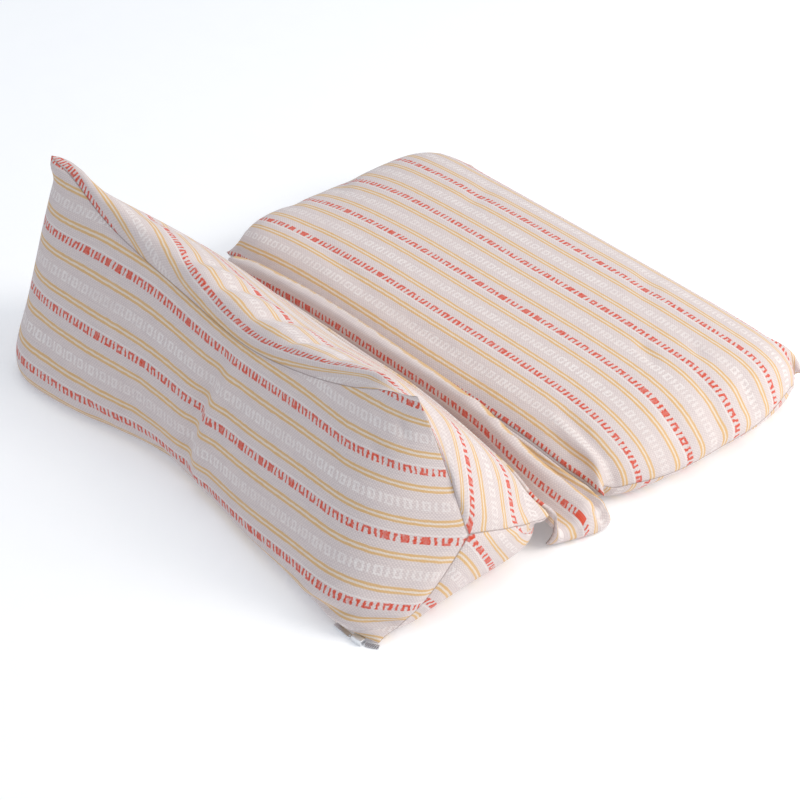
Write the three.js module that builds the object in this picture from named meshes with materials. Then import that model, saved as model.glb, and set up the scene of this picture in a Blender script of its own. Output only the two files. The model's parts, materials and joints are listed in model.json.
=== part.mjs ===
// Buckwheat neck pillow: a wedge cushion and a flat cushion in one striped
// cotton, joined by a pleated cloth hinge, with a zip along the wedge's front.
// Each cushion is worked out as it is sewn: panels are cut to size, joined at
// their seams, closed at the ends, and let settle around the heap of hulls.
// Millimetres. X runs along the seams, Y from the front to the back, Z up.
import * as THREE from 'three';

// Cut sizes of the wedge, a tube of three panels closed by a three-armed seam
// at each end. An arm joins half an end edge of one panel to its neighbour's.
const WEDGE_ARMS = { ridge: 94, zip: 88, back: 80 };
const WEDGE_LENGTH = { seams: 420, front: 476, base: 520, back: 476 };

// Cut sizes of the flat cushion, two panels with a straight seam at each end.
const FLAT_ARMS = { front: 122, back: 122 };
const FLAT_LENGTH = { seams: 414, bottom: 446, top: 446 };

// The cloth is worked out on cells of about this size.
const CELL = 12;

// Where the seams' corners lie, the point where an end's arms meet, and the
// middles of those arms. The left end is the far one.
const WEDGE_CORNERS = {
  left: { ridge: [-20, 59, 157], zip: [-5, 6, 4], back: [-2, 143, 29], middle: [-38, 88, 66] },
  right: { ridge: [364, 71, 146], zip: [404, 2, 3], back: [404, 154, 29], middle: [405, 78, 56] },
};
const WEDGE_ARM_MIDDLES = {
  left: { ridge: [-33, 76, 112], zip: [-32, 48, 32] },
  right: { ridge: [384, 75, 100], zip: [404, 41, 23], back: [405, 116, 41] },
};
const FLAT_CORNERS = {
  left: { front: [-20, 206, 20], back: [-12, 420, 24], middle: [-26, 312, 22] },
  right: { front: [404, 206, 18], back: [396, 416, 20], middle: [410, 310, 18] },
};

// The wedge's heap of hulls, a row for each section, [y, z] in each column.
const WEDGE_HEAP = [
  { x: -34, frontFoot: [14, 8], front: [32, 60], crease: [62, 124], top: [66, 122],
    shoulder: [84, 84], back: [98, 58], backFoot: [120, 24], base: [74, 12] },
  { x: -20, frontFoot: [6, 2], front: [22, 58], crease: [59, 146], top: [64, 145],
    shoulder: [90, 92], back: [118, 64], backFoot: [138, 14], base: [76, 2] },
  { x: 0, frontFoot: [0, 1], front: [16, 56], crease: [57, 156], top: [65, 152],
    shoulder: [99, 99], back: [138, 63], backFoot: [146, 5], base: [80, 0] },
  { x: 30, frontFoot: [2, 1], front: [14, 50], crease: [55, 147], top: [68, 145],
    shoulder: [112, 104], back: [156, 60], backFoot: [150, 0], base: [80, 0] },
  { x: 70, frontFoot: [9, 1], front: [14, 46], crease: [54, 136], top: [76, 141],
    shoulder: [121, 105], back: [164, 58], backFoot: [150, 0], base: [80, 0] },
  { x: 140, frontFoot: [27, 0], front: [22, 42], crease: [55, 121], top: [82, 135],
    shoulder: [129, 105], back: [169, 55], backFoot: [148, 0], base: [90, 0] },
  { x: 205, frontFoot: [21, 0], front: [20, 42], crease: [56, 111], top: [86, 128],
    shoulder: [133, 103], back: [170, 55], backFoot: [148, 0], base: [90, 0] },
  { x: 260, frontFoot: [12, 0], front: [15, 44], crease: [58, 117], top: [84, 128],
    shoulder: [132, 102], back: [170, 54], backFoot: [150, 0], base: [85, 0] },
  { x: 310, frontFoot: [7, 1], front: [9, 44], crease: [61, 129], top: [82, 135],
    shoulder: [129, 102], back: [168, 52], backFoot: [152, 0], base: [85, 0] },
  { x: 350, frontFoot: [-1, 2], front: [7, 48], crease: [67, 142], top: [74, 142],
    shoulder: [122, 101], back: [164, 50], backFoot: [154, 0], base: [82, 0] },
  { x: 370, frontFoot: [-7, 4], front: [13, 50], crease: [71, 136], top: [75, 136],
    shoulder: [118, 97], back: [158, 50], backFoot: [156, 1], base: [80, 0] },
  { x: 386, frontFoot: [-10, 4], front: [28, 54], crease: [73, 112], top: [77, 112],
    shoulder: [110, 89], back: [146, 50], backFoot: [156, 4], base: [80, 0] },
  { x: 403, frontFoot: [-4, 3], front: [52, 55], crease: [77, 84], top: [81, 84],
    shoulder: [99, 76], back: [124, 51], backFoot: [148, 10], base: [80, 0] },
];
const WEDGE_AXIS = [82, 50];
const WEDGE_ENDS = { left: -40, right: 416, leanLeft: -0.035, leanRight: -0.1 };

// The cloth on each side of the ridge seam is tucked down into the heap: how
// much of each panel is hidden, along the seam from its left end to its right.
const RIDGE_TUCK = [
  { along: 0, hidden: 0 }, { along: 0.08, hidden: 6 }, { along: 0.2, hidden: 26 },
  { along: 0.34, hidden: 36 }, { along: 0.6, hidden: 36 }, { along: 0.74, hidden: 30 },
  { along: 0.86, hidden: 17 }, { along: 0.95, hidden: 6 }, { along: 1, hidden: 0 },
];

// The zip's seam runs under the wedge and comes out at the right end.
const ZIP_LINE = [
  { x: -5, y: 6, z: 4 }, { x: 60, y: 38, z: 0 }, { x: 140, y: 58, z: 0 }, { x: 210, y: 56, z: 0 },
  { x: 280, y: 44, z: 0 }, { x: 340, y: 16, z: 0 }, { x: 370, y: 1, z: 1 }, { x: 388, y: -1, z: 2 },
  { x: 404, y: 2, z: 3 },
];

// The flat cushion's heap. Its bottom panel comes first around the ring.
const FLAT_HEAP = [
  { x: -20, front: [206, 19], frontTop: [230, 30], top: [310, 33], backTop: [392, 31],
    back: [418, 20], backFoot: [394, 6], base: [310, 5], frontFoot: [230, 6] },
  { x: -4, front: [202, 22], frontTop: [225, 41], top: [308, 44], backTop: [394, 42],
    back: [424, 23], backFoot: [400, 1], base: [310, 0], frontFoot: [226, 1] },
  { x: 60, front: [200, 25], frontTop: [223, 49], top: [305, 54], backTop: [394, 50],
    back: [427, 25], backFoot: [400, 0], base: [310, 0], frontFoot: [222, 0] },
  { x: 200, front: [199, 24], frontTop: [223, 48], top: [305, 55], backTop: [394, 50],
    back: [427, 24], backFoot: [400, 0], base: [310, 0], frontFoot: [222, 0] },
  { x: 340, front: [200, 21], frontTop: [224, 43], top: [305, 52], backTop: [392, 49],
    back: [425, 23], backFoot: [400, 0], base: [310, 0], frontFoot: [222, 0] },
  { x: 390, front: [203, 18], frontTop: [226, 35], top: [308, 44], backTop: [390, 44],
    back: [420, 21], backFoot: [398, 0], base: [310, 0], frontFoot: [226, 0] },
  { x: 404, front: [212, 16], frontTop: [234, 25], top: [308, 33], backTop: [386, 33],
    back: [406, 20], backFoot: [386, 5], base: [310, 3], frontFoot: [234, 4] },
];
const FLAT_AXIS = [310, 25];
const FLAT_ENDS = { left: -28, right: 412, leanLeft: 0, leanRight: 0 };

// The hinge strip, double cloth, and its folds from the wedge to the flat: it
// hangs and drops from the wedge, turns in a valley, rises to a crest and falls.
const HINGE = {
  thickness: 2.6, left: 17, right: 400, off: 2.6, below: 1, clear: 1.6, stations: 28, steps: 18,
};
const HINGE_FOLDS = [
  { x: 9, hang: [163, 40], drop: [168, 28], valley: [177, 8],
    rise: [184, 14], crest: [189, 32], fall: [194, 31] },
  { x: 50, hang: [164.6, 48], drop: [173, 32], valley: [180, 11],
    rise: [184, 24], crest: [189, 42], fall: [194, 34] },
  { x: 120, hang: [169.2, 53], drop: [175, 38], valley: [181, 18],
    rise: [184, 32], crest: [189, 48], fall: [194, 37] },
  { x: 200, hang: [170.6, 53], drop: [176, 38], valley: [181, 18],
    rise: [184, 32], crest: [189, 47], fall: [194, 36] },
  { x: 290, hang: [169.5, 50], drop: [175, 31], valley: [180, 11],
    rise: [185, 26], crest: [189, 44], fall: [194, 34] },
  { x: 350, hang: [164.8, 42], drop: [171, 20], valley: [178, 5],
    rise: [185, 14], crest: [189, 29], fall: [195, 27] },
  { x: 402, hang: [158.5, 22], drop: [162, 7], valley: [173, 2.2],
    rise: [185, 4], crest: [190, 14], fall: [195, 17] },
];

// The end of the zip at the wedge's front corner.
const ZIP_CHAIN = {
  path: [[394.7, -1.3], [398.3, 0.4], [402.4, 3.4]], width: 3.8, teeth: 2, pitch: 1.25,
  tape: 0.6, height: 1.5, gaps: 1.05, lift: 0.3,
};
const ZIP_SLIDER = {
  length: 8.4, mouth: 6.2, tail: 4.4, thickness: 3.8, bevel: 0.5, at: [389.2, -2.6, 0.3], turn: 12,
};
const ZIP_PULL = {
  length: 17.4, width: 4, hole: 0.8, thickness: 1.2, bevel: 0.25, at: [375.2, -3.4, 0.3], turn: -3,
};

// How far each seam hangs off the straight line between its ends, at its
// middle, before the cloth settles.
const WEDGE_SAG = { ridge: [0, 0, -38], zip: [0, 30, 0], back: [0, 0, 20] };
const FLAT_SAG = { front: [0, -6, 0], back: [0, 8, 0] };

// Value of a column between the rows of a table, as one smooth curve.
function smooth(rows, key, column) {
  const at = rows.map((row) => row[key]);
  const value = rows.map(column);
  return (x) => {
    if (x <= at[0]) return value[0];
    const last = at.length - 1;
    if (x >= at[last]) return value[last];
    let i = 1;
    while (x > at[i]) i += 1;
    const span = at[i] - at[i - 1];
    const t = (x - at[i - 1]) / span;
    const before = Math.max(i - 2, 0);
    const after = Math.min(i + 1, last);
    const slopeIn = (value[i] - value[before]) / (at[i] - at[before]) * span;
    const slopeOut = (value[after] - value[i - 1]) / (at[after] - at[i - 1]) * span;
    return (2 * t ** 3 - 3 * t ** 2 + 1) * value[i - 1] + (t ** 3 - 2 * t ** 2 + t) * slopeIn
      + (3 * t ** 2 - 2 * t ** 3) * value[i] + (t ** 3 - t ** 2) * slopeOut;
  };
}

const mix = (a, b, t) => a.map((value, axis) => value + (b[axis] - value) * t);

// A heap of hulls, rounded where its sides meet its ends. It pushes the cloth's
// points out to its surface, and they settle back on it more gently.
const RAYS = 96;
const SECTION_STEP = 4;
const SIDE_ROUND = 2.5;
const END_ROUND = 14;
const PUSH = 0.12;
const LAY = 0.02;
const STEP_CAP = 2;
const cap = (value) => Math.max(-STEP_CAP, Math.min(STEP_CAP, value));

function heap(rows, axis, ends) {
  const names = Object.keys(rows[0]).filter((name) => name !== 'x');
  const tracks = names.map((name) => [
    smooth(rows, 'x', (row) => row[name][0]),
    smooth(rows, 'x', (row) => row[name][1]),
  ]);
  const sections = new Map();

  function radii(x) {
    const key = Math.round(x / SECTION_STEP) * SECTION_STEP;
    if (!sections.has(key)) {
      const corners = tracks.map(([y, z]) => new THREE.Vector3(y(key), z(key), 0));
      const outline = new THREE.CatmullRomCurve3(corners, true, 'catmullrom', 0.5);
      const points = outline.getPoints(RAYS);
      const radius = new Float64Array(RAYS);
      for (let ray = 0; ray < RAYS; ray += 1) {
        const angle = (2 * Math.PI * ray) / RAYS;
        const [dy, dz] = [Math.cos(angle), Math.sin(angle)];
        for (let i = 0; i < RAYS; i += 1) {
          const [ay, az] = [points[i].x - axis[0], points[i].y - axis[1]];
          const [ey, ez] = [points[i + 1].x - points[i].x, points[i + 1].y - points[i].y];
          const cross = dy * ez - dz * ey;
          if (Math.abs(cross) < 1e-12) continue;
          const reach = (ay * ez - az * ey) / cross;
          const along = (ay * dz - az * dy) / cross;
          if (reach > radius[ray] && along >= 0 && along <= 1) radius[ray] = reach;
        }
      }
      sections.set(key, radius);
    }
    return sections.get(key);
  }

  return (p, q) => {
    const low = ends.left + ends.leanLeft * p[q + 2];
    const high = ends.right + ends.leanRight * p[q + 2];
    const half = (high - low) / 2;
    const t = (p[q] - low - half) / half;
    const radius = radii(Math.max(low + SECTION_STEP, Math.min(high - SECTION_STEP, p[q])));
    const dy = p[q + 1] - axis[0];
    const dz = p[q + 2] - axis[1];
    const r = Math.sqrt(dy * dy + dz * dz) || 1e-6;
    const ray = ((Math.atan2(dz, dy) / (2 * Math.PI) + 1) % 1) * RAYS;
    const i = Math.floor(ray) % RAYS;
    const reach = radius[i] + (radius[(i + 1) % RAYS] - radius[i]) * (ray - Math.floor(ray));
    const slopeEnd = (END_ROUND * Math.abs(t) ** (END_ROUND - 1) * Math.sign(t)) / half;
    const slopeSide = (SIDE_ROUND * (r / reach) ** (SIDE_ROUND - 1)) / reach;
    const slope = Math.sqrt(slopeEnd ** 2 + slopeSide ** 2) || 1e-9;
    const outside = ((r / reach) ** SIDE_ROUND + Math.abs(t) ** END_ROUND - 1) / slope;
    const move = -cap(outside) * (outside < 0 ? PUSH : LAY) / slope;
    p[q] += slopeEnd * move;
    p[q + 1] += (slopeSide * move * dy) / r;
    p[q + 2] = Math.max(p[q + 2] + (slopeSide * move * dz) / r, 0);
  };
}

// A tube of panels sewn edge to edge around a ring and closed at both ends by
// a seam with one arm for each junction of two panels. Panel k runs from
// junction k to the next one; the hidden cloth lies on both sides of the first.
const SHEAR = 0.35;
const BULGE = 0.12;
const END_SLOPE = 50;
const CORNER_GRIP = 0.6;
const SEAM_GRIP = 0.2;
const STIFF = 0.5;

function sewTube({ arms, length, corners, sag, hidden }) {
  const names = Object.keys(arms);
  const next = (k) => (k + 1) % names.length;
  const armCells = names.map((name) => Math.round(arms[name] / CELL));
  const panelCells = armCells.map((cells, k) => cells + armCells[next(k)]);
  const width = names.map((name, k) => arms[name] + arms[names[next(k)]]);
  const ring = panelCells.reduce((sum, cells) => sum + cells, 0);
  const junction = panelCells.map((_, k) => panelCells.slice(0, k).reduce((sum, n) => sum + n, 0));
  const [, ...panelLength] = Object.values(length);
  const columns = Math.round((panelLength[0] + length.seams) / 2 / CELL);
  const wrap = (r) => ((r % ring) + ring) % ring;
  const panelOf = (r) => junction.filter((at) => at <= r).length - 1;

  // A node's place in a panel as cut: along the stripes and across them.
  function cut(i, r, panel) {
    const tucked = hidden(i / columns);
    const first = panel === 0 ? tucked : 0;
    const last = panel === names.length - 1 ? tucked : 0;
    const part = (r - junction[panel]) / panelCells[panel];
    const across = first + (width[panel] - first - last) * part;
    const bow = 1 - (2 * across / width[panel] - 1) ** 2;
    const along = length.seams + (panelLength[panel] - length.seams) * bow;
    return [(i / columns - 0.5) * along, across];
  }
  function apart(panel, i, r, otherI, otherR) {
    const a = cut(i, r, panel);
    const b = cut(otherI, otherR, panel);
    return Math.hypot(a[0] - b[0], a[1] - b[1]);
  }

  // At an end the nodes on both sides of an arm are one.
  function sewn(r) {
    for (let k = 0; k < names.length; k += 1) {
      const off = Math.min(wrap(r - junction[k]), wrap(junction[k] - r));
      if (off < armCells[k]) return wrap(junction[k] + off);
    }
    return armCells[0];
  }

  // Where a node starts: on bulging panels, drawn in to the end seams.
  function start(i, r) {
    const t = i / columns;
    const swell = Math.sqrt(Math.sin(Math.PI * t));
    const seam = (name) => mix(corners.left[name], corners.right[name], t)
      .map((value, axis) => value + sag[name][axis] * swell);
    const middle = mix(corners.left.middle, corners.right.middle, t);
    const panel = panelOf(r);
    const [from, to] = [seam(names[panel]), seam(names[next(panel)])];
    const step = r - junction[panel];
    const part = step / panelCells[panel];
    const bulge = BULGE * swell * Math.sin(Math.PI * part);
    const open = mix(from, to, part);
    open[1] += (to[2] - from[2]) * bulge;
    open[2] = Math.max(open[2] - (to[1] - from[1]) * bulge, 0);
    const shut = step <= armCells[panel]
      ? mix(from, middle, step / armCells[panel])
      : mix(to, middle, (panelCells[panel] - step) / armCells[next(panel)]);
    const fromEnd = Math.min(t, 1 - t) * length.seams;
    return mix(open, shut, Math.max(0, 1 - fromEnd / END_SLOPE) ** 1.4);
  }

  const places = [];
  const known = new Map();
  function node(i, r) {
    const at = i === 0 || i === columns ? sewn(wrap(r)) : wrap(r);
    const key = i * ring + at;
    if (!known.has(key)) {
      known.set(key, places.length / 3);
      places.push(...start(i, at));
    }
    return known.get(key);
  }

  const links = [];
  const bends = [];
  const faces = [];
  const tie = (list, a, b, rest, grip) => {
    if (a !== b) list.push([a, b, rest, grip]);
  };
  for (let i = 0; i <= columns; i += 1) {
    for (let r = 0; r < ring; r += 1) {
      const panel = panelOf(r);
      const after = wrap(r + 1);
      tie(links, node(i, r), node(i, r + 1), apart(panel, i, r, i, r + 1), 1);
      if (i > 0 && i < columns) {
        const rest = apart(panel, i, r, i, r + 1) + apart(panelOf(after), i, after, i, after + 1);
        tie(bends, node(i, r), node(i, r + 2), rest, STIFF);
      }
      if (i + 1 < columns) {
        tie(bends, node(i, r), node(i + 2, r), apart(panel, i, r, i + 2, r), STIFF);
      }
      if (i === columns) continue;
      const [a, b, c, d] = [node(i, r), node(i, r + 1), node(i + 1, r + 1), node(i + 1, r)];
      tie(links, a, d, apart(panel, i, r, i + 1, r), 1);
      tie(links, a, c, apart(panel, i, r, i + 1, r + 1), SHEAR);
      tie(links, b, d, apart(panel, i, r + 1, i + 1, r), SHEAR);
      const leaning = (r - junction[panel] < armCells[panel]) === (i < columns / 2);
      const halves = leaning ? [[a, b, c], [a, c, d]] : [[a, b, d], [b, c, d]];
      for (const [p, q, s] of halves) {
        if (p !== q && q !== s && s !== p) faces.push(p, q, s);
      }
    }
  }
  const holds = [];
  for (const [side, i] of [['left', 0], ['right', columns]]) {
    names.forEach((name, k) => {
      holds.push({ node: node(i, junction[k]), at: corners[side][name], grip: CORNER_GRIP });
    });
    holds.push({ node: node(i, armCells[0]), at: corners[side].middle, grip: SEAM_GRIP });
  }
  const seams = new Set();
  for (let i = 0; i <= columns; i += 1) {
    for (let r = 0; r < ring; r += 1) {
      if (i === 0 || i === columns || junction.includes(r)) seams.add(node(i, r));
    }
  }
  const nodes = Float64Array.from(places);
  return { places: nodes, links, bends, faces, holds, seams, node, columns, junction };
}

// Let the cloth settle: it can't stretch, gives way to being pushed together,
// is pushed out by the heap and lies on it, on a flat surface, with the ends of
// its seams and the ridge's crease held in their places.
const GIVE = 0.005;
const BENT = 0.95;
const DRAG = 0.9;
const SURFACE_DRAG = 0.3;
const STEPS = 400;
const SWEEPS = 10;

function settle(cloth, press) {
  const p = cloth.places;
  const speed = new Float64Array(p.length);
  const before = new Float64Array(p.length);
  function draw(a, b, rest, grip, slackGrip) {
    const dx = p[b] - p[a];
    const dy = p[b + 1] - p[a + 1];
    const dz = p[b + 2] - p[a + 2];
    const span = Math.sqrt(dx * dx + dy * dy + dz * dz) || 1e-9;
    const share = (0.5 * (span > rest ? grip : slackGrip) * (span - rest)) / span;
    p[a] += dx * share;
    p[a + 1] += dy * share;
    p[a + 2] += dz * share;
    p[b] -= dx * share;
    p[b + 1] -= dy * share;
    p[b + 2] -= dz * share;
  }
  for (let step = 0; step < STEPS; step += 1) {
    before.set(p);
    for (let q = 0; q < p.length; q += 1) p[q] += speed[q] * DRAG;
    for (let sweep = 0; sweep < SWEEPS; sweep += 1) {
      for (const [a, b, rest, grip] of cloth.links) draw(3 * a, 3 * b, rest, grip, grip * GIVE);
      for (const [a, b, rest, grip] of cloth.bends) draw(3 * a, 3 * b, rest * BENT, 0, grip);
      for (const { node, at, grip } of cloth.holds) {
        for (let axis = 0; axis < 3; axis += 1) {
          p[3 * node + axis] += (at[axis] - p[3 * node + axis]) * grip;
        }
      }
      for (let q = 0; q < p.length; q += 3) press(p, q);
    }
    for (let q = 0; q < p.length; q += 1) speed[q] = cap(p[q] - before[q]);
    for (let q = 0; q < p.length; q += 3) {
      if (p[q + 2] > 0) continue;
      speed[q] *= SURFACE_DRAG;
      speed[q + 1] *= SURFACE_DRAG;
    }
  }
}

// Draw each point of the open cloth toward its neighbours' middle, so that what
// is left is the folds and not the grain of the grid. Seams stay as they are.
const IRONINGS = 2;

function iron(cloth) {
  const p = cloth.places;
  const sum = new Float64Array(p.length);
  const count = new Float64Array(p.length / 3);
  for (let pass = 0; pass < IRONINGS; pass += 1) {
    sum.fill(0);
    count.fill(0);
    for (const [a, b] of cloth.links) {
      for (let axis = 0; axis < 3; axis += 1) {
        sum[3 * a + axis] += p[3 * b + axis];
        sum[3 * b + axis] += p[3 * a + axis];
      }
      count[a] += 1;
      count[b] += 1;
    }
    for (let node = 0; node < count.length; node += 1) {
      if (cloth.seams.has(node) || p[3 * node + 2] === 0) continue;
      for (let axis = 0; axis < 3; axis += 1) {
        const q = 3 * node + axis;
        p[q] += (sum[q] / count[node] - p[q]) / 2;
      }
    }
  }
}

function solid(name, places, faces, material) {
  const geometry = new THREE.BufferGeometry();
  geometry.setAttribute('position', new THREE.Float32BufferAttribute(places, 3));
  geometry.setIndex(faces);
  geometry.computeVertexNormals();
  const mesh = new THREE.Mesh(geometry, material);
  mesh.name = name;
  return mesh;
}

const steel = () => new THREE.MeshStandardMaterial({ color: '#c9ccd1', roughness: 0.35, metalness: 1 });
const cotton = () => new THREE.MeshStandardMaterial({ color: '#e6d3ca', roughness: 0.95, metalness: 0 });

// The wedge, with its ridge seam held down in the crease, its zip seam along
// its line, and the arms of its end seams where they cross the ends.
const tuck = smooth(RIDGE_TUCK, 'along', (row) => row.hidden);
const wedge = sewTube({
  arms: WEDGE_ARMS,
  length: WEDGE_LENGTH,
  corners: WEDGE_CORNERS,
  sag: WEDGE_SAG,
  hidden: (along) => Math.max(0, tuck(along)),
});
function holdLine(name, y, z) {
  const k = Object.keys(WEDGE_ARMS).indexOf(name);
  for (let i = 1; i < wedge.columns; i += 1) {
    const x = mix(WEDGE_CORNERS.left[name], WEDGE_CORNERS.right[name], i / wedge.columns)[0];
    wedge.holds.push({ node: wedge.node(i, wedge.junction[k]), at: [x, y(x), z(x)], grip: SEAM_GRIP });
  }
}
const crease = (axis) => smooth(WEDGE_HEAP, 'x', (row) => row.crease[axis]);
holdLine('ridge', crease(0), crease(1));
holdLine('zip', smooth(ZIP_LINE, 'x', (row) => row.y), smooth(ZIP_LINE, 'x', (row) => row.z));
for (const [side, i] of [['left', 0], ['right', wedge.columns]]) {
  for (const [name, at] of Object.entries(WEDGE_ARM_MIDDLES[side])) {
    const k = Object.keys(WEDGE_ARMS).indexOf(name);
    const half = Math.round(WEDGE_ARMS[name] / CELL / 2);
    wedge.holds.push({ node: wedge.node(i, wedge.junction[k] + half), at, grip: SEAM_GRIP });
  }
}
settle(wedge, heap(WEDGE_HEAP, WEDGE_AXIS, WEDGE_ENDS));
iron(wedge);

const flat = sewTube({
  arms: FLAT_ARMS,
  length: FLAT_LENGTH,
  corners: FLAT_CORNERS,
  sag: FLAT_SAG,
  hidden: () => 0,
});
settle(flat, heap(FLAT_HEAP, FLAT_AXIS, FLAT_ENDS));
iron(flat);

// The seam of a settled cushion, as its height and depth at any x.
function seamLine(cloth, k) {
  const rows = Array.from({ length: cloth.columns + 1 }, (_, i) => {
    const q = 3 * cloth.node(i, cloth.junction[k]);
    return { x: cloth.places[q], y: cloth.places[q + 1], z: cloth.places[q + 2] };
  });
  return [smooth(rows, 'x', (row) => row.y), smooth(rows, 'x', (row) => row.z)];
}

// A thin solid between an under and an over face, given at each station and
// each step across it.
function plate(name, stations, material) {
  const steps = stations[0].length;
  const loop = 2 * steps;
  const places = stations.flatMap((pairs) => [
    ...pairs.flatMap((pair) => pair.under),
    ...pairs.toReversed().flatMap((pair) => pair.over),
  ]);
  const faces = [];
  for (let i = 0; i + 1 < stations.length; i += 1) {
    for (let j = 0; j < loop; j += 1) {
      const a = i * loop + j;
      const b = i * loop + ((j + 1) % loop);
      faces.push(a, b, b + loop, a, b + loop, a + loop);
    }
  }
  const end = (stations.length - 1) * loop;
  for (let j = 0; j + 1 < steps; j += 1) {
    const [a, b, c, d] = [j, j + 1, loop - 2 - j, loop - 1 - j];
    faces.push(a, c, b, a, d, c);
    faces.push(end + a, end + b, end + c, end + a, end + c, end + d);
  }
  return solid(name, places, faces, material);
}

// The hinge strip hangs from the wedge's back seam, turns up into the pleat and
// ends at the flat cushion's front seam.
function hingeStrip() {
  const [wedgeY, wedgeZ] = seamLine(wedge, 2);
  const [flatY, flatZ] = seamLine(flat, 0);
  const folds = Object.keys(HINGE_FOLDS[0]).filter((name) => name !== 'x').map((name) => [
    smooth(HINGE_FOLDS, 'x', (row) => row[name][0]),
    smooth(HINGE_FOLDS, 'x', (row) => row[name][1]),
  ]);
  const half = HINGE.thickness / 2;
  const stations = Array.from({ length: HINGE.stations }, (_, i) => {
    const x = HINGE.left + ((HINGE.right - HINGE.left) * i) / (HINGE.stations - 1);
    const path = new THREE.SplineCurve([
      new THREE.Vector2(wedgeY(x) + HINGE.off, wedgeZ(x) - HINGE.below),
      ...folds.map(([y, z]) => new THREE.Vector2(y(x), z(x))),
      new THREE.Vector2(flatY(x) - half - HINGE.clear, flatZ(x)),
    ]);
    return Array.from({ length: HINGE.steps }, (_unused, j) => {
      const at = path.getPoint(j / (HINGE.steps - 1));
      const run = path.getTangent(j / (HINGE.steps - 1));
      return {
        under: [x, at.x + half * run.y, at.y - half * run.x],
        over: [x, at.x - half * run.y, at.y + half * run.x],
      };
    });
  });
  return plate('hinge_strip', stations, cotton());
}

// The zip's end at the wedge's front corner: the last of its teeth on their
// tape, the slider that closed them and its pull, lying on the surface.
function zipChain() {
  const path = new THREE.CatmullRomCurve3(ZIP_CHAIN.path.map(([x, y]) => new THREE.Vector3(x, y, 0)));
  const { width, teeth, tape, gaps, lift } = ZIP_CHAIN;
  const across = [
    { off: -width / 2, rise: tape }, { off: -teeth / 2 - 0.1, rise: tape }, { off: -teeth / 2, rise: null },
    { off: teeth / 2, rise: null }, { off: teeth / 2 + 0.1, rise: tape }, { off: width / 2, rise: tape },
  ];
  const count = Math.round(path.getLength() / ZIP_CHAIN.pitch) * 4;
  const stations = Array.from({ length: count + 1 }, (_, i) => {
    const at = path.getPointAt(i / count);
    const run = path.getTangentAt(i / count);
    const tooth = i % 4 < 2 ? ZIP_CHAIN.height : gaps;
    return across.map(({ off, rise }) => {
      const [x, y] = [at.x - run.y * off, at.y + run.x * off];
      return { under: [x, y, lift], over: [x, y, lift + (rise ?? tooth)] };
    });
  });
  return plate('zip_chain', stations, steel());
}

function zipPiece(name, outline, { thickness, bevel, at, turn }) {
  const geometry = new THREE.ExtrudeGeometry(outline, {
    depth: thickness - 2 * bevel,
    bevelThickness: bevel,
    bevelSize: bevel,
    bevelOffset: -bevel,
    bevelSegments: 2,
    curveSegments: 6,
  });
  geometry.translate(0, 0, bevel);
  geometry.rotateZ(THREE.MathUtils.degToRad(turn));
  geometry.translate(...at);
  const mesh = new THREE.Mesh(geometry, steel());
  mesh.name = name;
  return mesh;
}

// The slider narrows toward its tail; the pull is a bar with a hole at its end.
function sliderOutline({ length, mouth, tail }) {
  const outline = new THREE.Shape();
  outline.moveTo(length / 2, -mouth / 2);
  outline.quadraticCurveTo(length / 2 + 0.8, 0, length / 2, mouth / 2);
  outline.quadraticCurveTo(0, mouth / 2, -length / 2, tail / 2);
  outline.quadraticCurveTo(-length / 2 - 0.5, 0, -length / 2, -tail / 2);
  outline.quadraticCurveTo(0, -mouth / 2, length / 2, -mouth / 2);
  return outline;
}

function pullOutline({ length, width, hole }) {
  const straight = length / 2 - width / 2;
  const outline = new THREE.Shape();
  outline.moveTo(-straight, -width / 2);
  outline.lineTo(straight, -width / 2);
  outline.absarc(straight, 0, width / 2, -Math.PI / 2, Math.PI / 2);
  outline.lineTo(-straight, width / 2);
  outline.absarc(-straight, 0, width / 2, Math.PI / 2, Math.PI * 1.5);
  const opening = new THREE.Path();
  opening.absarc(straight, 0, hole, 0, Math.PI * 2, true);
  outline.holes.push(opening);
  return outline;
}

const pillow = new THREE.Group();
pillow.add(solid('wedge_cushion', wedge.places, wedge.faces, cotton()));
pillow.add(solid('flat_cushion', flat.places, flat.faces, cotton()));
pillow.add(hingeStrip());
pillow.add(zipChain());
pillow.add(zipPiece('zip_slider', sliderOutline(ZIP_SLIDER), ZIP_SLIDER));
pillow.add(zipPiece('zip_pull', pullOutline(ZIP_PULL), ZIP_PULL));

// Every point is moved so that the origin is under the middle of the whole.
const box = new THREE.Box3().setFromObject(pillow, true);
const middle = box.getCenter(new THREE.Vector3());
for (const piece of pillow.children) piece.geometry.translate(-middle.x, -middle.y, -box.min.z);

export default pillow;
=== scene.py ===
"""Buckwheat neck pillow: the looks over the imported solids.

Two cushions are cut, sewn and settled here as they are in the solids, but on a
finer grid, so that the cloth's stripes run as they are woven and its folds are
the cloth's own. Lengths are in millimetres until a mesh is made of them.
"""
import json
import math

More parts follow.
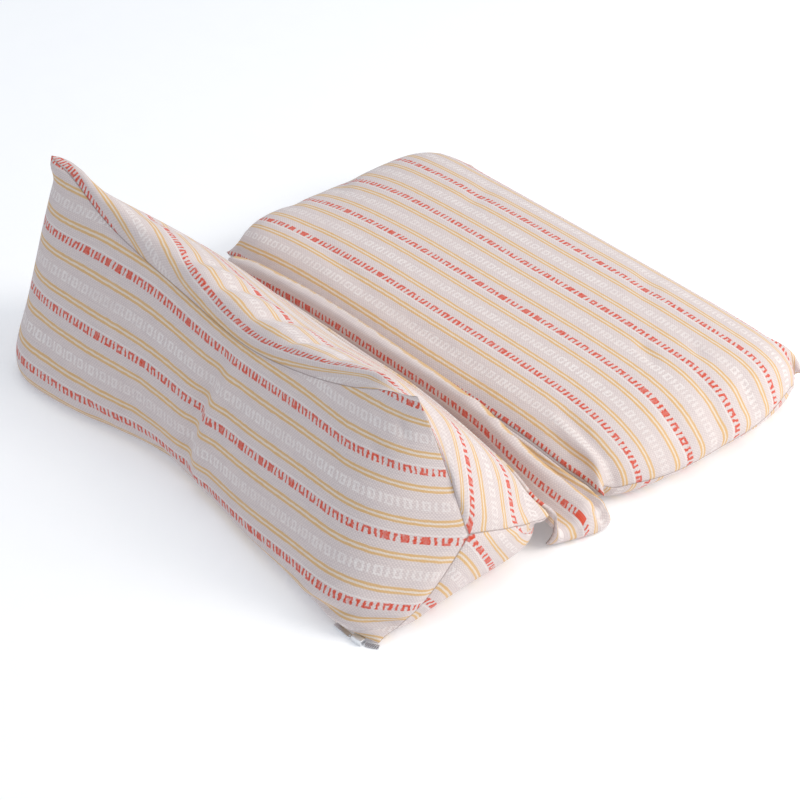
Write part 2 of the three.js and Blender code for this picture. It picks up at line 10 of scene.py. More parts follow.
import bpy
import numpy as np
from bpy.props import FloatProperty, FloatVectorProperty, PointerProperty
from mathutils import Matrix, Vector

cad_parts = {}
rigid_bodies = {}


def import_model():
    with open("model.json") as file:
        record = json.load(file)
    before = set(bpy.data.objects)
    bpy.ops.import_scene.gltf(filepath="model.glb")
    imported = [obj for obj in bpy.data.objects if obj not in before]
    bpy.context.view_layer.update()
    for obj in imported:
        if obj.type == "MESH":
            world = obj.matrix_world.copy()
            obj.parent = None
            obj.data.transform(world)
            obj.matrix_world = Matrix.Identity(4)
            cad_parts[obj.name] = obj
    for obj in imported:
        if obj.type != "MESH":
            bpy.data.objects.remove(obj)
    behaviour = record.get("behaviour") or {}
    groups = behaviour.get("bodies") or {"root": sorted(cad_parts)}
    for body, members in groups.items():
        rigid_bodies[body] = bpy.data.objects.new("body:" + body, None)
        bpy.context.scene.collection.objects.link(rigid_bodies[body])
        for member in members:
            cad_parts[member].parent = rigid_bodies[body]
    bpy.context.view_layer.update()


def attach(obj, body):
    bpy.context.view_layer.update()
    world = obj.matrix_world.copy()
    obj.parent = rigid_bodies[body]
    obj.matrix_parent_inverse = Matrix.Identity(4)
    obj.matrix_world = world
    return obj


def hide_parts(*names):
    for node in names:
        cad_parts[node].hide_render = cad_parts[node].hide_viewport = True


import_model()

bl_info = {
    "name": "Buckwheat Neck Pillow",
    "version": (1, 0, 0),
    "blender": (4, 5, 0),
    "location": "View3D > Sidebar > Neck Pillow",
    "description": "A striped cotton neck pillow of two filled cushions and a cloth hinge",
    "category": "Add Mesh",
}

MM = 0.001

# While it is made, the pillow is measured from the wedge's front left corner.
# This is the middle of its footprint, where the frame has its origin.
MIDDLE = np.array([187.7, 210.5, 0.0])

# Cut sizes. An arm joins half an end edge of one panel to its neighbour's. The
# stripes of a panel are set off from its first seam by "stripes" at its left
# end and its right one, and run from its second seam where "turned" is true.
# "corners" and "lines" hold the seams and "sag" bends them at the start.
# "drawn" draws the cloth together beside the first seam, and "spread" widens
# the stripes in the middle and at the ends. "ends", their "lean" and the "axis"
# in (y, z) belong to the heap of hulls.
WEDGE = {
    "arms": {"ridge": 94, "zip": 88, "back": 80},
    "seams": 420,
    "panels": {"front": 476, "base": 520, "back": 476},
    "stripes": {"front": (-1, -9), "base": (2, 2), "back": (-3, -3)},
    "turned": {"front": False, "base": False, "back": True},
    "corners": {
        "left": {
            "ridge": (-24, 60, 161), "zip": (-5, 6, 4), "back": (-2, 143, 29),
            "middle": (-38, 88, 66), "ridge arm": (-37, 76, 115), "zip arm": (-32, 48, 32),
        },
        "right": {
            "ridge": (364, 71, 146), "zip": (404, 2, 3), "back": (404, 154, 29),
            "middle": (405, 78, 56), "ridge arm": (384, 75, 100), "zip arm": (404, 41, 23),
            "back arm": (405, 116, 41),
        },
    },
    "lines": {"zip": (
        (-5, 6, 4), (60, 38, 0), (140, 58, 0), (210, 56, 0), (280, 44, 0),
        (340, 16, 0), (370, 1, 1), (388, -1, 2), (404, 2, 3),
    )},
    "sag": {"ridge": (0, 0, -38), "zip": (0, 30, 0), "back": (0, 0, 20)},
    "drawn": 0.085,
    "ends": {"left": -40, "right": 416, "lean": (-0.035, -0.1)},
    "axis": (82, 50),
}
FLAT = {
    "arms": {"front": 122, "back": 122},
    "seams": 414,
    "panels": {"bottom": 446, "top": 446},
    "stripes": {"bottom": (-9, -9), "top": (-1, -1)},
    "turned": {"bottom": False, "top": True},
    "spread": (0.925, 1.04),
    "corners": {
        "left": {"front": (-20, 206, 20), "back": (-12, 420, 24), "middle": (-26, 312, 22)},
        "right": {"front": (404, 206, 18), "back": (396, 416, 20), "middle": (410, 310, 18)},
    },
    "sag": {"front": (0, -6, 0), "back": (0, 8, 0)},
    "ends": {"left": -28, "right": 412, "lean": (0, 0)},
    "axis": (310, 25),
}

# The wedge's heap of hulls. A row is a section: its x, and then its outline in
# (y, z) at the front foot, front, crease, top, shoulder, back, back foot, base.
WEDGE_HEAP = (
    (-34, (14, 8), (32, 60), (62, 124), (66, 122), (84, 84), (98, 58), (120, 24), (74, 12)),
    (-20, (6, 2), (22, 58), (58, 152), (67, 151), (90, 92), (118, 64), (138, 14), (76, 2)),
    (0, (0, 1), (16, 56), (57, 156), (65, 152), (99, 99), (138, 63), (146, 5), (80, 0)),
    (30, (2, 1), (14, 50), (55, 147), (68, 147), (112, 103), (155, 59), (150, 0), (80, 0)),
    (70, (9, 1), (14, 46), (54, 136), (74, 141), (118, 104), (159, 55), (150, 0), (80, 0)),
    (140, (27, 0), (22, 42), (55, 121), (74, 134), (117, 102), (161, 50), (148, 0), (90, 0)),
    (205, (21, 0), (20, 42), (56, 111), (75, 124), (115, 98), (161, 49), (148, 0), (90, 0)),
    (260, (12, 0), (15, 44), (58, 117), (75, 127), (117, 98), (161, 49), (150, 0), (85, 0)),
    (310, (7, 1), (9, 44), (61, 129), (75, 137), (117, 98), (159, 46), (152, 0), (85, 0)),
    (350, (-1, 2), (7, 48), (67, 142), (74, 143), (113, 98), (156, 44), (154, 0), (82, 0)),
    (370, (-7, 4), (13, 50), (71, 136), (75, 136), (112, 97), (153, 45), (156, 1), (80, 0)),
    (386, (-10, 4), (28, 54), (73, 112), (77, 112), (110, 89), (146, 50), (156, 4), (80, 0)),
    (403, (-4, 3), (52, 55), (77, 84), (81, 84), (99, 76), (124, 51), (148, 10), (80, 0)),
)
CREASE = 3

# Along the ridge seam, cloth is tucked out of sight and the crease lies sunk. A
# row has its share of the seam, the tuck on the front and on the back, how much
# more the back's stripes are set off there, and how deep the crease lies.
RIDGE = (
    (0, 0, 0, 0, 0),
    (0.08, 6, 3, -3, 1.5),
    (0.2, 26, 14, -11, 3),
    (0.27, 32, 20, -10, 3),
    (0.34, 36, 25, -4, 3),
    (0.42, 36, 26, 5, 3),
    (0.6, 36, 26, 10, 3),
    (0.74, 30, 22, 8, 2),
    (0.86, 17, 13, 4, 0.8),
    (0.95, 6, 5, 1, 0),
    (1, 0, 0, 0, 0),
)

# The flat cushion's heap: x, and (y, z) at the front, front top, top, back top,
# back, back foot, base and front foot.
FLAT_HEAP = (
    (-20, (205, 21), (226, 38), (310, 37), (397, 38), (419, 22), (394, 6), (310, 5), (230, 6)),
    (-4, (201, 23), (222, 47), (308, 46), (399, 47), (425, 25), (400, 1), (310, 0), (226, 1)),
    (60, (200, 25), (223, 49), (305, 54), (394, 50), (427, 25), (400, 0), (310, 0), (222, 0)),
    (200, (199, 24), (223, 48), (305, 55), (394, 50), (427, 24), (400, 0), (310, 0), (222, 0)),
    (340, (200, 21), (224, 43), (305, 52), (392, 49), (425, 23), (400, 0), (310, 0), (222, 0)),
    (390, (203, 18), (226, 35), (308, 44), (390, 44), (420, 21), (398, 0), (310, 0), (226, 0)),
    (404, (212, 16), (234, 25), (308, 33), (386, 33), (406, 20), (386, 5), (310, 3), (234, 4)),
)

# The hinge strip's folds, from the wedge to the flat: x, and (y, z) where it
# hangs, drops, turns in a valley, rises, crests and falls.
HINGE_FOLDS = (
    (9, (159, 34), (166, 24), (174, 8), (182, 18), (187, 36), (192.5, 24)),
    (50, (165, 43), (170, 29), (177, 11), (183, 28), (187.5, 45), (193, 29)),
    (120, (167.5, 42), (172, 29), (178, 16), (183.5, 33), (187.5, 50.5), (193, 32)),
    (200, (167.5, 41), (172, 28), (178, 16), (183.5, 33), (187.5, 50), (193, 31)),
    (290, (167, 39), (171.5, 26), (177.5, 12), (183, 29), (187.5, 46.5), (193, 28)),
    (350, (163.5, 35), (168, 21), (174, 9), (181, 20), (187, 32), (193, 18)),
    (402, (157.5, 23), (160, 15), (164, 12), (174, 13), (188, 23), (196, 13)),
)
# The crest is the sixth of a section's points, which start at the seam.
CREST = 5
HINGE = {
    "thickness": 2.6, "left": 17, "right": 400, "stations": 131, "steps": 57,
    # Off the seams, and where in the weave the crest is folded.
    "off": 2.6, "below": 1, "clear": 1.6, "phase": 459,
    # How much the cloth puffs out, how far below the crest and over what reach.
    "puff": 2.4, "puffed": 9, "puff_reach": 15,
    # The right end's turn, how far it swells, how low it hangs and its ripples.
    "turn": 3.5, "swell": 2.5, "low": 1.6, "ripple": 1.1, "ripple_run": 5, "end_steps": 15,
    # Along the weave: where it starts, and how much the turn and the end take.
    "start": 200, "turned": 4, "hung": 14,
}
# Where the right end's hem lies on the surface: its x at each y.
HINGE_HEM = (
    (150, 391), (158, 397), (166, 399.5), (174, 401),
    (181, 403), (188, 406), (195, 408), (208, 406),
)
# More than the distance from any seam that the cotton's own seam lines reach.
NO_SEAM = 50.0

# Soft folds in the filled cloth: the panel, both ends of the fold along and
# across the cut cloth, its half width and its rise out of the cloth.
WEDGE_FOLDS = (
    ("front", (18, 54), (2, 96), 8, -3.2),
    ("front", (4, 86), (-8, 138), 8, -5.0),
    ("front", (32, 54), (18, 96), 8, 2.8),
    ("front", (20, 88), (9, 138), 8, 4.4),
    ("front", (-58, 96), (-66, 134), 7, -1.5),
    ("front", (-50, 146), (-28, 152), 4, -2.2),
    ("front", (148, 160), (186, 151), 3.5, -4.2),
    ("front", (184, 151), (222, 161), 3.5, -3.6),
    ("front", (146, 150), (200, 141), 6, 2.2),
    ("front", (176, 43), (191, 53), 3.5, -2.2),
    ("front", (197, 20), (203, 34), 3, -1.8),
    ("front", (132, 61), (166, 70), 4, -2.0),
    ("front", (-180, 86), (-150, 122), 7, -1.6),
    ("front", (-120, 120), (-96, 150), 7, -1.5),
    ("back", (-46, 96), (-58, 140), 6, -1.8),
    ("back", (-32, 92), (-40, 136), 6, 1.8),
    ("back", (-14, 88), (-20, 136), 5, -3.2),
    ("back", (5, 86), (0, 132), 6, 1.8),
    ("back", (24, 84), (20, 134), 5, -3.4),
    ("back", (42, 86), (44, 134), 7, 1.8),
    ("back", (62, 88), (68, 136), 5, -2.8),
    ("back", (98, 96), (116, 140), 6, -2.0),
    ("back", (-104, 84), (-122, 128), 7, -2.0),
    ("back", (-150, 60), (-176, 104), 7, -1.8),
    ("back", (-40, 30), (30, 36), 9, -1.6),
    ("base", (-60, 60), (-20, 110), 9, -1.0),
)
# The right end of the ridge lies smooth: how many cells of it, and passes.
RIDGE_END = {"cells": 18, "passes": 60}
FLAT_FOLDS = (
    ("top", (140, 211), (186, 217), 3.5, -3.4),
    ("top", (182, 216), (212, 220), 3, -2.8),
    ("top", (140, 220), (200, 227), 4.5, 1.8),
    ("top", (150, 232), (206, 234), 3.5, -2.4),
    ("top", (118, 110), (142, 122), 4, -2.6),
    ("top", (186, 85), (212, 92), 4, -2.6),
    ("top", (142, 83), (158, 89), 4, -2.4),
    ("top", (-150, 190), (-60, 214), 8, -1.8),
    ("top", (-60, 214), (70, 222), 7, -1.6),
    ("top", (168, 110), (216, 128), 6, -2.0),
    ("top", (174, 150), (216, 160), 6, -2.0),
    ("top", (-208, 96), (-178, 128), 7, -1.8),
    ("top", (-212, 150), (-186, 166), 7, -1.6),
    ("top", (-110, 30), (-90, 70), 9, -1.4),
    ("top", (60, 24), (84, 60), 9, -1.4),
    ("bottom", (-60, 80), (40, 96), 10, -0.8),
)

# Grid cells, and how the cloth settles on each grid: steps, how much of a push
# together it resists.
ROUGH = {"cell": 12, "steps": 300, "slack": 0.005}
FINE = {"cell": 4, "steps": 40, "slack": 0.0}


def between(t, here, after, span, slope, slope_after):
    """A smooth curve from one place to the next, with its slope at both."""
    return ((2 * t**3 - 3 * t**2 + 1) * here + (t**3 - 2 * t**2 + t) * span * slope
            + (3 * t**2 - 2 * t**3) * after + (t**3 - t**2) * span * slope_after)


def smooth(at, values):
    """One smooth curve through the values of a table's column."""
    at = np.asarray(at, dtype=float)
    values = np.asarray(values, dtype=float)
    apart = (at[2:] - at[:-2])[(...,) + (None,) * (values.ndim - 1)]
    inner = (values[2:] - values[:-2]) / apart
    first = (values[1] - values[0]) / (at[1] - at[0])
    last = (values[-1] - values[-2]) / (at[-1] - at[-2])
    slope = np.concatenate([first[None], inner, last[None]])

    def value(x):
        x = np.clip(np.asarray(x, dtype=float), at[0], at[-1])
        i = np.clip(np.searchsorted(at, x, side="right") - 1, 0, len(at) - 2)
        span = at[i + 1] - at[i]
        t = (x - at[i]) / span
        if values.ndim > 1:
            span, t = span[..., None], t[..., None]
        return between(t, values[i], values[i + 1], span, slope[i], slope[i + 1])

    return value


def column(rows, index):
    """A column of a table as a curve along its first column."""
    return smooth([row[0] for row in rows], [row[index] for row in rows])


def ridge_tucks(along):
    """Cloth tucked away on the ridge's front and back, and the stripes' set-off."""
    front, back, set_off = (column(RIDGE, index)(along) for index in (1, 2, 3))
    return np.maximum(front, 0), np.maximum(back, 0), set_off


def no_tucks(along):
    """No cloth tucked away."""
    return along * 0, along * 0, along * 0


class Heap:
    """A heap of hulls, rounded where its sides meet its ends."""

    # Rays around a section, sections along the heap, and how square it ends.
    RAYS = 96
    STEP = 4
    SIDE_ROUND = 2.5
    END_ROUND = 14
    PARALLEL = 1e-12
    # How firmly it pushes cloth out, lets it lie down, and how far at once.
    PUSH = 0.12
    LAY = 0.02
    CAP = 2

    def __init__(self, rows, axis, ends):
        self.axis = np.array(axis, dtype=float)
        self.ends = ends
        self.low = ends["left"] - 3 * self.STEP
        stations = np.arange(self.low, ends["right"] + 2 * self.STEP, self.STEP)
        curves = [column(rows, index) for index in range(1, len(rows[0]))]
        self.radius = np.array([self.section([curve(x) for curve in curves]) for x in stations])

    def section(self, corners):
        """Distances from the axis to a section's outline, on rays around it."""
        corners = np.array(corners)
        steps = self.RAYS // len(corners)
        t = (np.arange(steps) / steps)[None, :, None]
        here, after = corners[:, None], np.roll(corners, -1, axis=0)[:, None]
        run = (np.roll(corners, -1, axis=0) - np.roll(corners, 1, axis=0))[:, None] / 2
        run_after = np.roll(run, -1, axis=0)
        outline = between(t, here, after, 1, run, run_after).reshape(-1, 2)
        edge = np.roll(outline, -1, axis=0) - outline
        start = outline - self.axis
        turn = 2 * np.pi * np.arange(self.RAYS) / self.RAYS
        dy, dz = np.cos(turn)[:, None], np.sin(turn)[:, None]
        cross = dy * edge[:, 1] - dz * edge[:, 0]
        cross = np.where(np.abs(cross) < self.PARALLEL, np.nan, cross)
        reach = (start[:, 0] * edge[:, 1] - start[:, 1] * edge[:, 0]) / cross
        along = (start[:, 0] * dz - start[:, 1] * dy) / cross
        hit = (along >= 0) & (along <= 1) & (reach > 0)
        return np.where(hit, reach, 0).max(axis=1)

    def press(self, places):
        """Push points out of the heap, and let those outside lie down on it."""
        low = self.ends["left"] + self.ends["lean"][0] * places[..., 2]
        high = self.ends["right"] + self.ends["lean"][1] * places[..., 2]
        half = (high - low) / 2
        t = (places[..., 0] - low - half) / half
        x = np.clip(places[..., 0], low + self.STEP, high - self.STEP)
        station = (x - self.low) / self.STEP
        i = station.astype(int)
        share = station - i
        off = places[..., 1:] - self.axis
        r = np.sqrt(off[..., 0] ** 2 + off[..., 1] ** 2) + 1e-6
        ray = (np.arctan2(off[..., 1], off[..., 0]) / (2 * np.pi) % 1) * self.RAYS
        j = ray.astype(int) % self.RAYS
        k = (j + 1) % self.RAYS
        part = ray - np.floor(ray)
        near = self.radius[i, j] * (1 - part) + self.radius[i, k] * part
        far = self.radius[i + 1, j] * (1 - part) + self.radius[i + 1, k] * part
        reach = near + (far - near) * share
        out = r / reach
        slope_end = self.END_ROUND * np.abs(t) ** (self.END_ROUND - 1) * np.sign(t) / half
        slope_side = self.SIDE_ROUND * out ** (self.SIDE_ROUND - 1) / reach
        slope = np.sqrt(slope_end**2 + slope_side**2) + 1e-9
        outside = (out**self.SIDE_ROUND + np.abs(t) ** self.END_ROUND - 1) / slope
        firm = np.where(outside < 0, self.PUSH, self.LAY)
        move = -np.clip(outside, -self.CAP, self.CAP) * firm / slope
        places[..., 0] += slope_end * move
        places[..., 1:] += (slope_side * move / r)[..., None] * off
        np.maximum(places[..., 2], 0, out=places[..., 2])


class Tube:
    """Panels sewn edge to edge around a ring, closed by a seam at each end.

    Points are in an array with a row for each station along the panels and a
    column for each place around the ring. Panel k runs from junction k to the
    next one. Cloth may be tucked away on both sides of the first junction.
    """

    # Where the first panel starts in the weave, and each next one after it.
    START = (500, 450)
    PANEL_START = 37
    # How the cloth holds together: along a cell's diagonals and against bends.
    SHEAR = 0.35
    BEND = 0.93
    STIFF = 0.5
    DRAWN_REACH = 60
    # The start: how far panels bulge and how near their ends they close.
    BULGE = 0.12
    END_SLOPE = 50
    END_POWER = 1.4
    # How firmly seams are held, and how fast cloth moves while it settles.
    CORNER_GRIP = 0.6
    SEAM_GRIP = 0.2
    DRAG = 0.9
    SURFACE_DRAG = 0.3
    CAP = 2
    SWEEPS = 10
    # Beside the first seam: places around the ring, how far each sinks, swells.
    CREASE_STEPS = (
        (0, 1, 0), (1, 0.25, 0), (-1, 0.15, 0.2), (-2, 0, 0.4),
        (-3, 0, 0.4), (-4, 0, 0.3), (-5, 0, 0.2), (-6, 0, 0.1),
    )
    # Which way it sinks and swells, in (y, z).
    SINK = np.array([0.45, -0.9])
    SWELL = np.array([-0.8, 0.6])
    # A fold's rise along its run, as a part of half a wave.
    FOLD_FROM, FOLD_RUN = 0.15, 0.7

    def __init__(self, spec, cell, hidden=no_tucks):
        self.spec = spec
        self.names = list(spec["arms"])
        arm = [spec["arms"][name] for name in self.names]
        count = len(arm)
        self.arms = [2 * round(length / cell / 2) for length in arm]
        self.cells = [self.arms[k] + self.arms[(k + 1) % count] for k in range(count)]
        self.junction = [sum(self.cells[:k]) for k in range(count)]
        self.ring = sum(self.cells)
        lengths = list(spec["panels"].values())
        self.columns = round((lengths[0] + spec["seams"]) / 2 / cell)
        self.panel = np.repeat(np.arange(count), self.cells)
        self.width = np.array([arm[k] + arm[(k + 1) % count] for k in range(count)])
        along = np.arange(self.columns + 1) / self.columns
        tucks = hidden(along)
        last = len(arm) - 1
        self.first = np.where(self.panel == 0, tucks[0][:, None], 0)
        self.last = np.where(self.panel == last, tucks[1][:, None], 0)
        self.set_off = np.where(self.panel == last, tucks[2][:, None], 0)
        self.step = np.arange(self.ring) - np.array(self.junction)[self.panel]
        self.near = self.cut(along, self.step, lengths)
        self.far = self.cut(along, self.step + 1, lengths)
        self.links = self.make_links()
        self.group = self.make_group()
        same = (self.group[:, None] == self.group[None, :]).astype(float)
        self.weld = same / same.sum(axis=1, keepdims=True)
        self.holds = []
        self.hold_end(0, spec["corners"]["left"])
        self.hold_end(self.columns, spec["corners"]["right"])
        for name, rows in spec.get("lines", {}).items():
            self.hold_seam(name, smooth([row[0] for row in rows], [row[1:] for row in rows]))

    def hold_end(self, row, corners):
        """Hold an end seam by its corners, its middle and the arms that are given."""
        for k, name in enumerate(self.names):
            at = self.junction[k]
            self.holds.append((row, at, corners[name], self.CORNER_GRIP))
            if name + " arm" in corners:
                points = [corners[name], corners[name + " arm"], corners["middle"]]
                line = smooth([0, 0.5, 1], points)
                for r in range(1, self.arms[k]):
                    for turn in (-r, r):
                        place = tuple(line(r / self.arms[k]))
                        self.holds.append((row, (at + turn) % self.ring, place, self.SEAM_GRIP))
        self.holds.append((row, self.arms[0], corners["middle"], self.SEAM_GRIP))

    def hold_seam(self, name, line):
        """Hold a long seam on a line that gives its y and z at any x."""
        left, right = (self.spec["corners"][side][name][0] for side in ("left", "right"))
        at = self.junction[self.names.index(name)]
        for row in range(1, self.columns):
            x = left + (right - left) * row / self.columns
            self.holds.append((row, at, (x, *line(x)), self.SEAM_GRIP))

    def cut(self, along, step, lengths):
        """Places in the panels as cut: along the stripes and across them."""
        panel = self.panel
        width = self.width[panel]
        across = self.first + (width - self.first - self.last) * step / np.array(self.cells)[panel]
        bow = 1 - (2 * across / width - 1) ** 2
        seams = self.spec["seams"]
        length = seams + (np.array(lengths)[panel] - seams) * bow
        return np.stack([(along[:, None] - 0.5) * length, across], axis=-1)

    def woven(self, cut):
        """Places in the cloth's weave, where a red band is at each repeat."""
        spec, panel = self.spec, self.panel
        share = np.linspace(0, 1, self.columns + 1)[:, None]
        left, right = np.array([spec["stripes"][name] for name in spec["panels"]])[panel].T
        turned = np.array([spec["turned"][name] for name in spec["panels"]])[panel]
        across = np.where(turned, self.width[panel] - cut[..., 1], cut[..., 1])
        middle, end = spec.get("spread", (1, 1))
        across = across * (middle + (end - middle) * np.abs(2 * share - 1) ** 3)
        across = across + left + (right - left) * share + self.set_off
        along = cut[..., 0] + self.START[0] + self.PANEL_START * panel
        return np.stack([along, across + self.START[1]], axis=-1)

    def drawn(self, cut):
        """Places as cut, with the cloth drawn together beside the first junction."""
        across = cut[..., 1]
        beside = np.where(self.panel == 0, across - self.first, self.DRAWN_REACH)
        last = self.panel == len(self.cells) - 1
        beside = np.where(last, self.width[self.panel] - across - self.last, beside)
        pull = self.spec.get("drawn", 0) * np.clip(1 - beside / self.DRAWN_REACH, 0, 1) ** 2
        return np.stack([cut[..., 0] * (1 - pull), across], axis=-1)

    def make_links(self):
        """Pairs of slices of the points, with rest lengths and grips."""
        def apart(a, b):
            return np.linalg.norm(a - b, axis=-1)

        near, far = self.drawn(self.near), self.drawn(self.far)
        around = apart(near, far)
        along = apart(near[:-1], near[1:])
        kinds = [
            (1, 0, along, 1, None),
            (0, 1, around, 1, None),
            (1, 1, apart(near[:-1], far[1:]), self.SHEAR, None),
            (1, -1, np.roll(apart(far[:-1], near[1:]), 1, axis=1), self.SHEAR, None),
            (2, 0, apart(near[:-2], near[2:]) * self.BEND, 0, self.STIFF),
            (0, 2, (around + np.roll(around, -1, axis=1)) * self.BEND, 0, self.STIFF),
        ]
        links = []
        ring, rows = self.ring, self.columns + 1
        for di, dr, rest, grip, stiff in kinds:
            pace = 2 * di if di else 1
            hop = 1 if di else 2 * dr
            wide = abs(dr)
            for i in range(pace):
                top, bottom = slice(i, rows - di, pace), slice(i + di, rows, pace)
                if dr == 2:
                    # Bends around the ring leave out the two end rows.
                    top = bottom = slice(1, rows - 1)
                if dr < 0:
                    sides = [(slice(wide, ring), slice(0, ring - wide))]
                else:
                    sides = [(slice(r, ring - dr, hop), slice(r + dr, ring, hop))
                             for r in range(hop)]
                for wrap in range(wide):
                    ends = ring - wide + wrap, wrap
                    a, b = ends if dr > 0 else ends[::-1]
                    sides.append((slice(a, a + 1), slice(b, b + 1)))
                links += [((top, a), (bottom, b), rest[top, a], grip, stiff) for a, b in sides]
        return links

    def make_group(self):
        """For each place on an end seam, the place that it is sewn to."""
        group = np.full(self.ring, self.arms[0])
        for k, at in enumerate(self.junction):
            for r in range(self.ring):
                off = min((r - at) % self.ring, (at - r) % self.ring)
                if off < self.arms[k]:
                    group[r] = (at + off) % self.ring
        return group

    def start(self):
        """Points on bulging panels, drawn in to the end seams."""
        spec, names = self.spec, self.names
        left, right = spec["corners"]["left"], spec["corners"]["right"]
        t = (np.arange(self.columns + 1) / self.columns)[:, None, None]
        swell = np.sqrt(np.sin(np.pi * t))

        def line(name):
            return np.array(left[name]) * (1 - t) + np.array(right[name]) * t

        seam = [line(name) + np.array(spec["sag"][name]) * swell for name in names]
        middle = line("middle")
        places = np.zeros((self.columns + 1, self.ring, 3))
        from_end = np.minimum(t, 1 - t) * spec["seams"]
        shut = np.clip(1 - from_end / self.END_SLOPE, 0, 1) ** self.END_POWER
        for k, at in enumerate(self.junction):
            after = (k + 1) % len(names)
            cells, arm = self.cells[k], self.arms[k]
            step = np.arange(cells)[None, :, None]
            part = step / cells
            start, end = seam[k], seam[after]
            wide = start + (end - start) * part
            bulge = self.BULGE * swell * np.sin(np.pi * part)
            wide[..., 1] += (end - start)[..., 2] * bulge[..., 0]
            wide[..., 2] = np.maximum(wide[..., 2] - (end - start)[..., 1] * bulge[..., 0], 0)
            closed = np.where(step <= arm, start + (middle - start) * step / arm,
                              end + (middle - end) * (cells - step) / self.arms[after])
            places[:, at:at + cells] = wide + (closed - wide) * shut
        self.close(places)
        return places

    def close(self, places):
        """Bring together the points that the end seams sew to each other."""
        places[0] = self.weld @ places[0]
        places[-1] = self.weld @ places[-1]

    def refined(self, rough, places):
        """Points of a rougher grid's cloth, read at this grid's places."""
        rows = np.arange(self.columns + 1) / self.columns * rough.columns
        cols = []
        for k, at in enumerate(self.junction):
            for r in range(self.cells[k]):
                arm, cells = self.arms[k], self.cells[k]
                local = r / arm * rough.arms[k]
                if r > arm:
                    rest = rough.cells[k] - rough.arms[k]
                    local = rough.arms[k] + (r - arm) / (cells - arm) * rest
                cols.append(rough.junction[k] + local)
        cols = np.array(cols)
        i = np.minimum(rows.astype(int), rough.columns - 1)
        j = cols.astype(int)
        s = (rows - i)[:, None, None]
        t = (cols - j)[None, :, None]
        after = (j + 1) % rough.ring
        top = places[i][:, j] * (1 - t) + places[i][:, after] * t
        low = places[i + 1][:, j] * (1 - t) + places[i + 1][:, after] * t
        return top * (1 - s) + low * s

    def settle(self, places, heap, steps, slack):
        """Let the cloth settle around its heap on a flat surface."""
        speed = np.zeros_like(places)
        row, col, goal, grips = (np.array(values) for values in zip(*self.holds))
        for _ in range(steps):
            before = places.copy()
            places += speed * self.DRAG
            for _ in range(self.SWEEPS):
                for a, b, rest, grip, stiff in self.links:
                    push = grip * slack if stiff is None else stiff
                    draw(places[a], places[b], rest, grip, push)
                self.close(places)
                places[row, col] += (goal - places[row, col]) * grips[:, None]
                self.close(places)
                heap.press(places)
            speed = np.clip(places - before, -self.CAP, self.CAP)
            speed[places[..., 2] <= 0, :2] *= self.SURFACE_DRAG
        return places

    def to_seams(self, cell, on=0):
        """How far points lie from the end seams and from the nearest long seam."""
        row = np.arange(self.columns + 1)
        from_end = np.minimum(row, self.columns - row)[:, None]
        cells = np.array(self.cells)[self.panel]
        from_side = np.minimum(self.step + on, cells - self.step - on)[None]
        return np.stack(np.broadcast_arrays(from_end * cell, from_side * cell), axis=-1)

    def by_panel(self, name):
        """Which places around the ring are on a panel."""
        return self.panel == list(self.spec["panels"]).index(name)

    def crease(self, places, depth):
        """Sink the first seam, with the cloth behind it swelling over the line."""
        for off, down, out in self.CREASE_STEPS:
            move = self.SINK * down + self.SWELL * out
            places[1:-1, off % self.ring, 1:] += move * depth[1:-1, None]
        return places

    def fold(self, places, folds):
        """Press soft troughs and ridges into the cloth."""
        along = np.gradient(places, axis=0)
        around = np.roll(places, -1, axis=1) - np.roll(places, 1, axis=1)
        out = np.cross(around, along)
        out /= np.linalg.norm(out, axis=-1, keepdims=True) + 1e-9
        rise = np.zeros(places.shape[:2])
        for panel, start, end, half_width, height in folds:
            start, end = np.array(start, dtype=float), np.array(end, dtype=float)
            run = end - start
            off = self.near - start
            t = np.clip(off @ run / (run @ run), 0, 1)
            apart = np.linalg.norm(off - t[..., None] * run, axis=-1)
            wave = np.sin(np.pi * (self.FOLD_FROM + self.FOLD_RUN * t))
            shape = height * np.exp(-((apart / half_width) ** 2)) * wave
            rise += np.where(self.by_panel(panel), shape, 0)
        rise[[0, -1]] = 0
        places = places + out * rise[..., None]
        np.maximum(places[..., 2], 0, out=places[..., 2])
        return places

    def iron(self, places, passes, where=True):
        """Draw open cloth toward its neighbours' middle; seams stay."""
        loose = np.ones(places.shape[:2], dtype=bool) & where
        loose[[0, -1]] = False
        loose[:, self.junction] = False
        for _ in range(passes):
            middle = (np.roll(places, 1, 1) + np.roll(places, -1, 1)) / 4
            middle[1:-1] += (places[:-2] + places[2:]) / 4
            free = loose & (places[..., 2] > 0)
            places[free] += (middle[free] - places[free]) / 2
        return places


def draw(a, b, rest, grip, slack):
    """Move two sets of points toward their rest distance apart."""
    d = b - a
    span = np.sqrt(np.einsum("ijk,ijk->ij", d, d)) + 1e-9
    off = span - rest
    d *= (0.5 * np.where(off > 0, grip, slack) * off / span)[..., None]
    a += d
    b -= d


def settled(spec, rows, hidden=no_tucks, crease=None):
    """A cushion's cloth, settled on a rough grid and then on the fine one."""
    heap = Heap(rows, spec["axis"], spec["ends"])
    rough = None
    for grid in (ROUGH, FINE):
        tube = Tube(spec, grid["cell"], hidden)
        if crease:
            tube.hold_seam("ridge", crease)
        places = tube.start() if rough is None else tube.refined(rough, places)
        places = tube.settle(places, heap, grid["steps"], grid["slack"])
        rough = tube
    return tube, tube.iron(places, 2)


def creased(tube, places):
    """The wedge's cloth, ironed at the ridge's right end, with its crease sunk."""
    from_end = (tube.columns - np.arange(tube.columns + 1))[:, None]
    off = np.minimum(np.arange(tube.ring), tube.ring - np.arange(tube.ring))[None]
    cells = RIDGE_END["cells"]
    places = tube.iron(places, RIDGE_END["passes"], (from_end < cells) & (off < cells))
    return tube.crease(places, column(RIDGE, 4)(np.arange(tube.columns + 1) / tube.columns))


